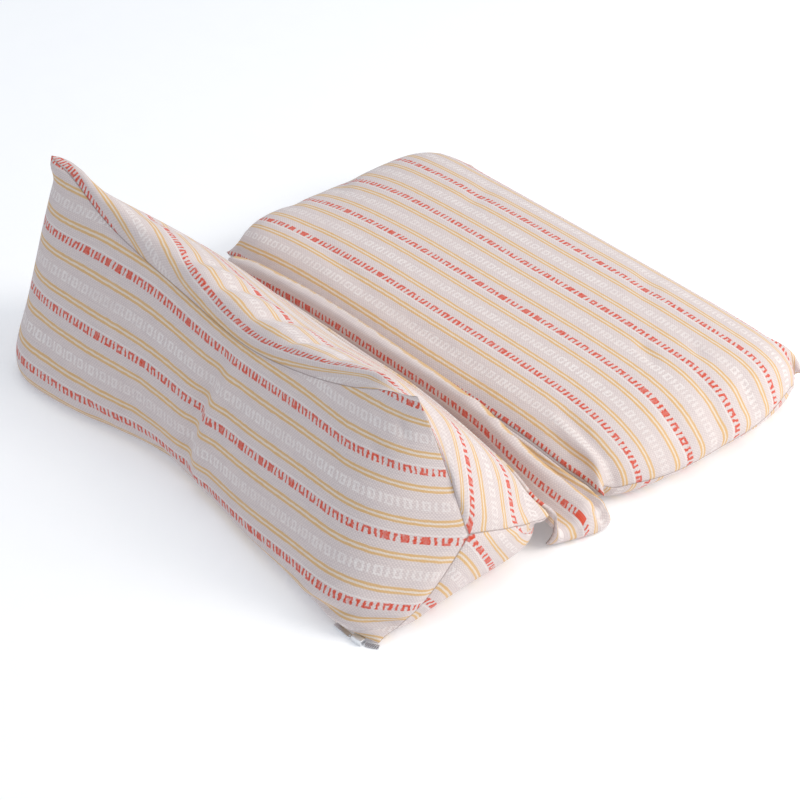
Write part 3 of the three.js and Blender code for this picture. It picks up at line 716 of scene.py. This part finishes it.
# ---------------------------------------------------------------- materials

def srgb(code):
    """A linear colour from an sRGB hex code."""
    parts = [int(code[i:i + 2], 16) / 255 for i in (1, 3, 5)]
    return [part / 12.92 if part <= 0.04045 else ((part + 0.055) / 1.055) ** 2.4 for part in parts]


class Nodes:
    """A new material, with short names for the nodes that work it out."""

    def __init__(self, name):
        self.material = bpy.data.materials.new(name)
        self.material.use_nodes = True
        self.tree = self.material.node_tree
        self.tree.nodes.clear()
        self.shader = self.add("ShaderNodeBsdfPrincipled")
        out = self.add("ShaderNodeOutputMaterial", {"Surface": self.shader.outputs["BSDF"]})
        out.is_active_output = True

    def add(self, kind, inputs=None, **settings):
        """Add a node, with its properties and with inputs that are values or links."""
        made = self.tree.nodes.new(kind)
        for name, value in settings.items():
            setattr(made, name, value)
        return self.feed(made, inputs or {})

    def feed(self, node, inputs):
        """Give a node's inputs their values or links."""
        for key, value in inputs.items():
            if isinstance(value, bpy.types.NodeSocket):
                self.tree.links.new(value, node.inputs[key])
            else:
                node.inputs[key].default_value = value
        return node

    def finish(self, inputs):
        """Give the surface its inputs, and hand over the material."""
        self.feed(self.shader, inputs)
        return self.material

    def maths(self, operation, *values):
        """A math node's result; values are numbers or links."""
        return self.add("ShaderNodeMath", dict(enumerate(values)), operation=operation).outputs[0]

    def plus(self, a, b):
        return self.maths("ADD", a, b)

    def minus(self, a, b):
        return self.maths("SUBTRACT", a, b)

    def times(self, a, b):
        return self.maths("MULTIPLY", a, b)

    def apart(self, a, b):
        return self.maths("ABSOLUTE", self.minus(a, b))

    def ramp(self, value, low, high, start=0.0, end=1.0, kind="LINEAR"):
        """From start to end as a value goes from low to high, held at both."""
        return self.add("ShaderNodeMapRange", {
            "Value": value, "From Min": low, "From Max": high, "To Min": start, "To Max": end,
        }, interpolation_type=kind).outputs["Result"]

    def pulse(self, value, centre, half, soft):
        """1 within half of a centre, falling to 0 over a soft edge."""
        off = self.apart(value, centre)
        return self.ramp(off, half - soft, half + soft, 1.0, 0.0, "SMOOTHSTEP")

    def blend(self, factor, under, over):
        """One colour over another."""
        under, over = (colour if isinstance(colour, bpy.types.NodeSocket) else (*colour, 1)
                       for colour in (under, over))
        mixer = self.add("ShaderNodeMix", data_type="RGBA")
        return self.feed(mixer, {0: factor, 6: under, 7: over}).outputs[2]

    def speckle(self, scale, detail):
        """A fine noise over the piece itself."""
        place = self.add("ShaderNodeTexCoord").outputs["Object"]
        return self.add("ShaderNodeTexNoise", {
            "Vector": place, "Scale": scale, "Detail": detail}).outputs["Fac"]

    def raised(self, height, strength, distance):
        """A surface that stands out by a distance in millimetres."""
        return self.add("ShaderNodeBump", {
            "Height": height, "Strength": strength, "Distance": distance * MM}).outputs["Normal"]

    def in_mm(self, layer):
        """Both places of a UV layer, in millimetres."""
        uv = self.add("ShaderNodeUVMap", uv_map=layer).outputs["UV"]
        split = self.add("ShaderNodeSeparateXYZ", {0: uv})
        return [self.times(split.outputs[axis], 1 / MM) for axis in ("X", "Y")]


def striped_cotton(cloth):
    """Striped cotton: pale ground, ochre lines, and red and white woven bands."""
    n = Nodes("striped_cotton")
    maths, plus, minus, times, pulse = n.maths, n.plus, n.minus, n.times, n.pulse
    u, v = n.in_mm("cut")
    repeat, thread, unit = cloth.repeat / MM, cloth.thread / MM, cloth.unit / MM
    ochre_apart, red_high, white_high = (
        cloth.ochre_apart / MM, cloth.red_band / MM, cloth.white_band / MM)

    def noise(across, along, detail):
        """A soft noise, so many millimetres long each way."""
        place = n.add("ShaderNodeCombineXYZ", {
            0: maths("DIVIDE", u, along), 1: maths("DIVIDE", v, across)})
        return n.add("ShaderNodeTexNoise", {
            "Vector": place.outputs[0], "Scale": 1.0, "Detail": detail}).outputs["Fac"]

    def strayed(value, across, along, reach):
        """A place moved up to about half a reach by threads that wander."""
        return plus(value, times(minus(noise(across, along, 2.0), 0.5), reach))

    def varied(least, more, share):
        """A strength that goes up from its least by a noise's share of more."""
        return plus(least, times(share, more))

    u_woven = strayed(u, 5.0, 3.4, 3.6)
    v_woven = strayed(v, 2.6, 6.0, 1.1)
    # Distance from the nearest red band's middle, signed and not.
    side = minus(v_woven, times(maths("ROUND", maths("DIVIDE", v, repeat)), repeat))
    off = maths("ABSOLUTE", side)

    # A plain weave, with the thicker threads along the stripes. They are drawn
    # coarser than is usual for cotton, so that they show from the camera.
    across = times(v, math.pi / thread)
    along = times(u, math.pi / (thread * 0.85))
    rib = maths("ABSOLUTE", maths("SINE", across))
    pick = times(maths("SINE", across), maths("SINE", along))
    weave = plus(times(rib, 0.4), times(pick, 0.6))
    slub = noise(1.1, 16.0, 2.0)
    fleck = noise(1.4, 1.4, 3.0)
    worn = noise(1.7, 1.2, 1.0)

    # Ground in two random tones, with painted shade in the gaps between its threads.
    tone = n.ramp(plus(times(slub, 0.6), times(fleck, 0.4)), 0.35, 0.65)
    colour = n.blend(tone, cloth.ground_dark, cloth.ground)
    # Painted shade: darker toward brown where the weave dips between threads.
    colour = n.blend(times(minus(1.0, weave), 0.2), colour, (0.25, 0.17, 0.2))

    # Ochre: two lines with a paler strip between them.
    line = n.apart(off, cloth.ochre_at / MM)
    strip = pulse(line, 0.0, ochre_apart * 1.5, 0.9)
    colour = n.blend(times(strip, 0.55), colour, cloth.cream)
    lines = pulse(line, ochre_apart, cloth.ochre_line / MM, 0.3)
    colour = n.blend(times(lines, varied(0.75, 0.35, slub)), colour, cloth.ochre)

    # Both bands are woven alike: two bars joined in a block, and a lone bar.
    at = maths("MODULO", u_woven, unit)
    bars = pulse(strayed(maths("PINGPONG", at, unit / 6), 2.2, 3.0, 1.3), unit / 6, 0.85, 0.35)
    block = pulse(at, unit / 3, unit / 6, 0.3)

    def band(centre_off, height, joined, uneven):
        """Bars as high as the band, and blocks joined where they are asked to be."""
        reach = varied(height / 2 - uneven / 2, uneven, fleck)
        inside = n.ramp(minus(centre_off, reach), -0.3, 0.3, 1.0, 0.0, "SMOOTHSTEP")
        return times(inside, maths("MAXIMUM", bars, times(block, joined)))

    # White: blocks closed at the top and the bottom, worn faint.
    white_off = minus(repeat / 2, off)
    rims = pulse(white_off, white_high / 2, 1.2, 0.4)
    faint = times(worn, varied(0.2, 1.3, noise(30.0, 60.0, 1.0)))
    fill = times(band(white_off, white_high, rims, 1.2), faint)
    pale = pulse(side, -red_high * 0.72, 0.5, 0.4)
    colour = n.blend(maths("MAXIMUM", fill, times(pale, 0.4)), colour, cloth.white)

    # Red: blocks joined along the foot, the head or all over as threads float.
    turn = maths("SIGN", minus(noise(40.0, 19.0, 0.0), 0.5))
    foot = pulse(times(side, turn), -red_high / 2, 1.6, 0.4)
    floats = n.ramp(noise(40.0, 11.0, 0.0), 0.56, 0.64, 0.0, 0.9)
    red = band(off, red_high, maths("MAXIMUM", times(foot, 0.9), floats), 1.5)
    colour = n.blend(times(red, varied(0.62, 0.55, worn)), colour, cloth.red)

    # Seams: painted shade, a fine dark line along the groove where two edges of cloth meet.
    nearest = maths("MINIMUM", *n.in_mm("edge"))
    seam = pulse(nearest, 0.0, 0.45, 0.3)
    # Painted shade of the seam's groove.
    colour = n.blend(times(seam, 0.5), colour, (0.16, 0.08, 0.07))
    groove = pulse(nearest, 0.0, 1.2, 1.0)

    # Thread on a band stands a little above the ground.
    height = minus(plus(weave, times(plus(red, fill), 0.8)), times(groove, 4.0))
    return n.finish({
        "Base Color": colour,
        "Normal": n.raised(plus(height, times(slub, 1.2)), 0.35, 0.25),
        "Roughness": minus(0.92, times(lines, 0.12)),
        "Sheen Weight": 0.1, "Sheen Roughness": 0.5, "Specular IOR Level": 0.2,
    })


def zip_steel():
    """Nickel-plated zip metal, satin, with faint scuffs."""
    n = Nodes("zip_steel")
    scuff = n.speckle(900.0, 3.0)
    return n.finish({
        "Base Color": n.blend(scuff, srgb("#dfe1e4"), srgb("#f4f5f6")),
        "Roughness": n.plus(0.3, n.times(scuff, 0.16)), "Metallic": 1.0,
    })


def zip_tape():
    """Grey woven tape crossed by a row of pale coiled teeth."""
    n = Nodes("zip_tape")
    place = n.add("ShaderNodeTexCoord").outputs["Object"]
    split = n.add("ShaderNodeSeparateXYZ", {0: place})
    weave = n.speckle(1400.0, 2.0)
    # Half the distance from one tooth to the next.
    half = 0.6
    along = n.maths("PINGPONG", n.times(split.outputs["X"], 1 / MM), half)
    teeth = n.pulse(along, half, 0.3, 0.12)
    cloth = n.blend(weave, srgb("#7d757a"), srgb("#9a9297"))
    return n.finish({
        "Base Color": n.blend(teeth, cloth, srgb("#d5d2d4")),
        "Normal": n.raised(n.plus(teeth, n.times(weave, 0.3)), 0.5, 0.3),
        "Roughness": n.plus(0.55, n.times(weave, 0.3)),
    })


def studio_floor():
    """Matt paper floor, near white, with the faintest tooth, and a faint glow painted on to lift
    its shadows.
    """
    n = Nodes("glowing_floor_paper")
    return n.finish({
        "Base Color": n.blend(n.speckle(40.0, 2.0), srgb("#f4f4f6"), srgb("#f7f7f8")),
        "Roughness": 0.9, "Specular IOR Level": 0.1,
        # Painted light: a faint glow that lightens the shadows on the floor.
        "Emission Color": (0.95, 0.97, 1.0, 1), "Emission Strength": 0.17,
    })


def colour_prop(name, code, description):
    return FloatVectorProperty(name=name, description=description, default=srgb(code),
                               subtype="COLOR", size=3, min=0, max=1)


def size_prop(name, default, description):
    return FloatProperty(name=name, description=description, default=default,
                         min=0.1 * MM, unit="LENGTH")


class ClothSettings(bpy.types.PropertyGroup):
    """Sizes and colours of the striped cotton."""

    repeat: size_prop("Repeat", 0.045, "From one red band's middle to the next one's")
    thread: size_prop("Thread", 0.0012, "Distance between neighbouring threads")
    ochre_at: size_prop("Ochre place", 0.0115, "From a red band's middle to an ochre pair's")
    ochre_apart: size_prop("Ochre apart", 0.00145, "From an ochre pair's middle to each line")
    ochre_line: size_prop("Ochre line", 0.0008, "Half the width of an ochre line")
    unit: size_prop("Unit", 0.0115, "Length of one woven block and its lone bar")
    white_band: size_prop("White band", 0.0062, "Height of the white band")
    red_band: size_prop("Red band", 0.005, "Height of the red band")
    ground: colour_prop("Ground", "#ecdfda", "Pale ground threads")
    ground_dark: colour_prop("Dark ground", "#dfd2d0", "Darker ground threads")
    ochre: colour_prop("Ochre", "#dcb27c", "Ochre lines")
    cream: colour_prop("Cream", "#f0dfc6", "Pale strip between two ochre lines")
    white: colour_prop("White", "#f7f1ee", "White woven bars")
    red: colour_prop("Red", "#d8482a", "Red woven bars")


# ------------------------------------------------------------------- meshes

def to_object(name, vertices, faces, layers, material):
    """A mesh object from places in millimetres, with UVs for each face corner."""
    mesh = bpy.data.meshes.new(name)
    mesh.from_pydata([tuple(place) for place in (vertices - MIDDLE) * MM], [], faces)
    for layer, uvs in layers.items():
        flat = (np.array(uvs, dtype=np.float32) * MM).ravel()
        mesh.uv_layers.new(name=layer).data.foreach_set("uv", flat)
    mesh.materials.append(material)
    piece = bpy.data.objects.new(name, mesh)
    bpy.context.scene.collection.objects.link(piece)
    return piece


def smooth_shaded(piece, levels=0):
    """Shade a piece smooth, after as many levels of subdivision."""
    bpy.context.view_layer.objects.active = piece
    bpy.ops.object.select_all(action="DESELECT")
    piece.select_set(True)
    if levels:
        modifier = piece.modifiers.new("Fine", "SUBSURF")
        modifier.levels = modifier.render_levels = levels
        modifier.uv_smooth = "NONE"
        bpy.ops.object.modifier_apply(modifier=modifier.name)
    bpy.ops.object.shade_smooth()
    return piece


def cushion(name, tube, places, material):
    """The closed cushion: one point where two are sewn together."""
    rows, ring = tube.columns + 1, tube.ring
    number = np.arange(rows * ring).reshape(rows, ring)
    number[0] = number[0][tube.group]
    number[-1] = number[-1][tube.group]
    used, compact = np.unique(number, return_inverse=True)
    compact = compact.reshape(rows, ring)
    vertices = places.reshape(-1, 3)[used]

    # A face's corners at this place around the ring and at the next one.
    here = compact, tube.woven(tube.near), tube.to_seams(FINE["cell"])
    after = np.roll(compact, -1, axis=1), tube.woven(tube.far), tube.to_seams(FINE["cell"], 1)
    faces, uvs, edges = [], [], []
    for i in range(rows - 1):
        for r in range(ring):
            corners, marks, apart = (
                [a[i, r], b[i, r], b[i + 1, r], a[i + 1, r]] for a, b in zip(here, after))
            keep = [k for k in range(4) if corners[k] != corners[k - 1]]
            if len(keep) < 3:
                continue
            faces.append([int(corners[k]) for k in keep])
            uvs.extend(marks[k] for k in keep)
            edges.extend(apart[k] for k in keep)
    piece = to_object(name, vertices, faces, {"cut": uvs, "edge": edges}, material)
    return smooth_shaded(piece, 1)


def seam_line(tube, places, name):
    """A seam's y and z at any x, from its points that lie well apart."""
    line = places[:, tube.junction[tube.names.index(name)]]
    line = line[np.argsort(line[:, 0])]
    keep = np.concatenate([[True], np.diff(line[:, 0]) > 0.5])
    return smooth(line[keep, 0], line[keep, 1:])


def along_line(points):
    """How far each point lies along the line through them."""
    return np.concatenate([[0], np.cumsum(np.linalg.norm(np.diff(points, axis=0), axis=1))])


def spline(points, count, fineness=400, nudge=0.1):
    """A smooth curve through points, evenly stepped, its tangents, and how far
    along it the points lie."""
    points = np.array(points, dtype=float)
    reach = along_line(points)
    curve = smooth(reach, points)
    fine = np.linspace(0, reach[-1], fineness)
    gone = along_line(curve(fine))
    even = np.interp(np.linspace(0, gone[-1], count), gone, fine)
    run = curve(np.minimum(even + nudge, reach[-1])) - curve(np.maximum(even - nudge, 0))
    run /= np.linalg.norm(run, axis=1, keepdims=True)
    return curve(even), run, np.interp(reach, fine, gone)


def hinge(wedge, flat, material):
    """The pleated strip of double cloth between the cushions."""
    from_seam = seam_line(*wedge, "back")
    to_seam = seam_line(*flat, "front")
    folds = [column(HINGE_FOLDS, index) for index in range(1, len(HINGE_FOLDS[0]))]
    hem = column(HINGE_HEM, 1)
    half = HINGE["thickness"] / 2
    steps = HINGE["steps"]
    loops, marks = [], []

    def add_loop(at, out, x, along, across):
        """A section's two faces, set off both ways from its middle."""
        middle = np.column_stack([np.broadcast_to(x, steps), at])
        off = (across - HINGE["phase"] + HINGE["puffed"]) / HINGE["puff_reach"]
        thick = (half + HINGE["puff"] * np.exp(-(off**2)))[:, None]
        loops.append(np.concatenate([middle - half * out, (middle + thick * out)[::-1]]))
        both = np.concatenate([across, across[::-1]])
        marks.append(np.column_stack([np.full(2 * steps, along), both]))

    for x in np.linspace(HINGE["left"], HINGE["right"], HINGE["stations"]):
        start, end = from_seam(x), to_seam(x)
        points = [(start[0] + HINGE["off"], start[1] - HINGE["below"])]
        points += [tuple(fold(x)) for fold in folds]
        points.append((end[0] - half - HINGE["clear"], end[1]))
        at, run, reach = spline(points, steps)
        out = np.stack([np.zeros(steps), -run[:, 1], run[:, 0]], axis=1)
        # The stripes are told from the crest, where the strip was folded.
        across = np.linspace(0, reach[-1], steps) - reach[CREST] + HINGE["phase"]
        add_loop(at, out, x, x + HINGE["start"], across)

    # The right end turns outward and hangs to the surface.
    side = np.array([1.0, 0, 0])
    turn, lowest = HINGE["turn"], HINGE["low"]
    drop = np.maximum(at[:, 1] - turn - lowest, 0)
    hang = hem(at[:, 0]) - HINGE["right"] - turn
    ripple = HINGE["swell"] + HINGE["ripple"] * np.sin(across / HINGE["ripple_run"])
    for k in range(1, HINGE["end_steps"] + 1):
        share = k / HINGE["end_steps"]
        angle = min(share * 3, 1) * np.pi / 2
        down = max(share * 3 - 1, 0) / 2
        x = HINGE["right"] + turn * np.sin(angle) + hang * down + ripple * np.sin(np.pi * down)
        low = at.copy()
        low[:, 1] = np.maximum(at[:, 1] - turn * (1 - np.cos(angle)) - down * drop, lowest)
        away = out * np.cos(angle) + side * np.sin(angle)
        along = HINGE["right"] + HINGE["start"] + HINGE["turned"] + HINGE["hung"] * down
        add_loop(low, away, x, along, across)

    vertices = np.concatenate(loops)
    marks = np.array(marks)
    count = 2 * steps
    faces, uvs = [], []
    for i in range(len(loops) - 1):
        for j in range(count):
            k = (j + 1) % count
            here, after = i * count, (i + 1) * count
            faces.append([here + j, here + k, after + k, after + j])
            uvs.extend([marks[i, j], marks[i, k], marks[i + 1, k], marks[i + 1, j]])
    last = (len(loops) - 1) * count
    for j in range(steps - 1):
        ends = [j, count - 1 - j, count - 2 - j, j + 1]
        faces.append(ends)
        uvs.extend(marks[0, k] for k in ends)
        faces.append([last + k for k in ends[::-1]])
        uvs.extend(marks[-1, k] for k in ends[::-1])
    layers = {"cut": uvs, "edge": np.full((len(uvs), 2), NO_SEAM)}
    return smooth_shaded(to_object("hinge_cloth", vertices, faces, layers, material))


def stand_for(piece, node):
    """Hang a piece of cloth on the root body and hide the solid it takes the place of."""
    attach(piece, "root")
    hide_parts(node)


# ---------------------------------------------------------------- operators

FLOOR_HALF = 6.0
# The lamps: name, place, size, power and colour.
LAMPS = (
    ("key", (1.28, 0.86, 1.13), 0.9, 19, (1.0, 0.95, 0.865)),
    ("top", (0.1, 0.2, 2.2), 2.0, 15, (1.0, 0.99, 0.97)),
)
LAMP_AIM = (0, 0, 0.05)
SKY = {"Color": (0.89, 0.96, 1.05, 1), "Strength": 0.52}
CAMERA_AT = (1.18300, -1.03116, 1.07444)
CAMERA_AIM = (-0.620, 0.539, -0.570)


class NECKPILLOW_OT_cloth(bpy.types.Operator):
    """Sew and settle the two cushions and their hinge."""

    bl_idname = "neckpillow.cloth"
    bl_label = "Cushions and hinge"

    def execute(self, context):
        material = striped_cotton(context.scene.neck_pillow_cloth)
        wedge, cloth = settled(WEDGE, WEDGE_HEAP, ridge_tucks, column(WEDGE_HEAP, CREASE))
        wedge = wedge, wedge.fold(creased(wedge, cloth), WEDGE_FOLDS)
        flat, cloth = settled(FLAT, FLAT_HEAP)
        flat = flat, flat.fold(cloth, FLAT_FOLDS)
        for name, made, node in (("wedge_cover", wedge, "wedge_cushion"),
                                 ("flat_cover", flat, "flat_cushion")):
            piece = cushion(name, *made, material)
            stand_for(piece, node)
        strip = hinge(wedge, flat, material)
        stand_for(strip, "hinge_strip")
        return {"FINISHED"}


class NECKPILLOW_OT_zip(bpy.types.Operator):
    """Give the zip its metal and its tape."""

    bl_idname = "neckpillow.zip"
    bl_label = "Zip"

    def execute(self, context):
        metal = zip_steel()
        for name, material in (
                ("zip_chain", zip_tape()), ("zip_slider", metal), ("zip_pull", metal)):
            bpy.data.objects[name].material_slots[0].material = material
        return {"FINISHED"}


class NECKPILLOW_OT_stage(bpy.types.Operator):
    """Set the floor, the lights and the camera."""

    bl_idname = "neckpillow.stage"
    bl_label = "Stage"

    def placed(self, context, name, data, at=(0, 0, 0), aim=None):
        """A new object in the scene, turned toward its aim where it has one."""
        made = bpy.data.objects.new(name, data)
        made.location = at
        if aim is not None:
            made.rotation_euler = aim.to_track_quat("-Z", "Y").to_euler()
        context.scene.collection.objects.link(made)
        return made

    def execute(self, context):
        mesh = bpy.data.meshes.new("floor")
        low, high = -FLOOR_HALF, FLOOR_HALF
        corners = [(low, low, 0), (high, low, 0), (high, high, 0), (low, high, 0)]
        mesh.from_pydata(corners, [], [(0, 1, 2, 3)])
        mesh.materials.append(studio_floor())
        self.placed(context, "floor", mesh)
        for name, at, size, power, colour in LAMPS:
            light = bpy.data.lights.new(name, "AREA")
            light.size = size
            light.energy = power
            light.color = colour
            self.placed(context, name, light, at, Vector(LAMP_AIM) - Vector(at))
        world = bpy.data.worlds.new("studio")
        world.use_nodes = True
        for name, value in SKY.items():
            world.node_tree.nodes["Background"].inputs[name].default_value = value
        context.scene.world = world
        context.scene.view_settings.view_transform = "Standard"
        lens = bpy.data.cameras.new("view")
        lens.sensor_width = 36
        lens.lens = 117.0
        lens.clip_end = 20
        camera = self.placed(context, "view", lens, CAMERA_AT, Vector(CAMERA_AIM))
        context.scene.camera = camera
        return {"FINISHED"}


class NECKPILLOW_PT_panel(bpy.types.Panel):
    """The pieces of the neck pillow."""

    bl_idname = "NECKPILLOW_PT_panel"
    bl_label = "Neck Pillow"
    bl_space_type = "VIEW_3D"
    bl_region_type = "UI"
    bl_category = "Neck Pillow"

    def draw(self, context):
        for operator in OPERATORS:
            self.layout.operator(operator.bl_idname)


OPERATORS = (NECKPILLOW_OT_cloth, NECKPILLOW_OT_zip, NECKPILLOW_OT_stage)
CLASSES = (ClothSettings, *OPERATORS, NECKPILLOW_PT_panel)


def register():
    for kind in CLASSES:
        bpy.utils.register_class(kind)
    bpy.types.Scene.neck_pillow_cloth = PointerProperty(type=ClothSettings)


def unregister():
    del bpy.types.Scene.neck_pillow_cloth
    for kind in reversed(CLASSES):
        bpy.utils.unregister_class(kind)


def main():
    register()
    bpy.ops.neckpillow.cloth()
    bpy.ops.neckpillow.zip()
    bpy.ops.neckpillow.stage()


if __name__ == "__main__":
    main()
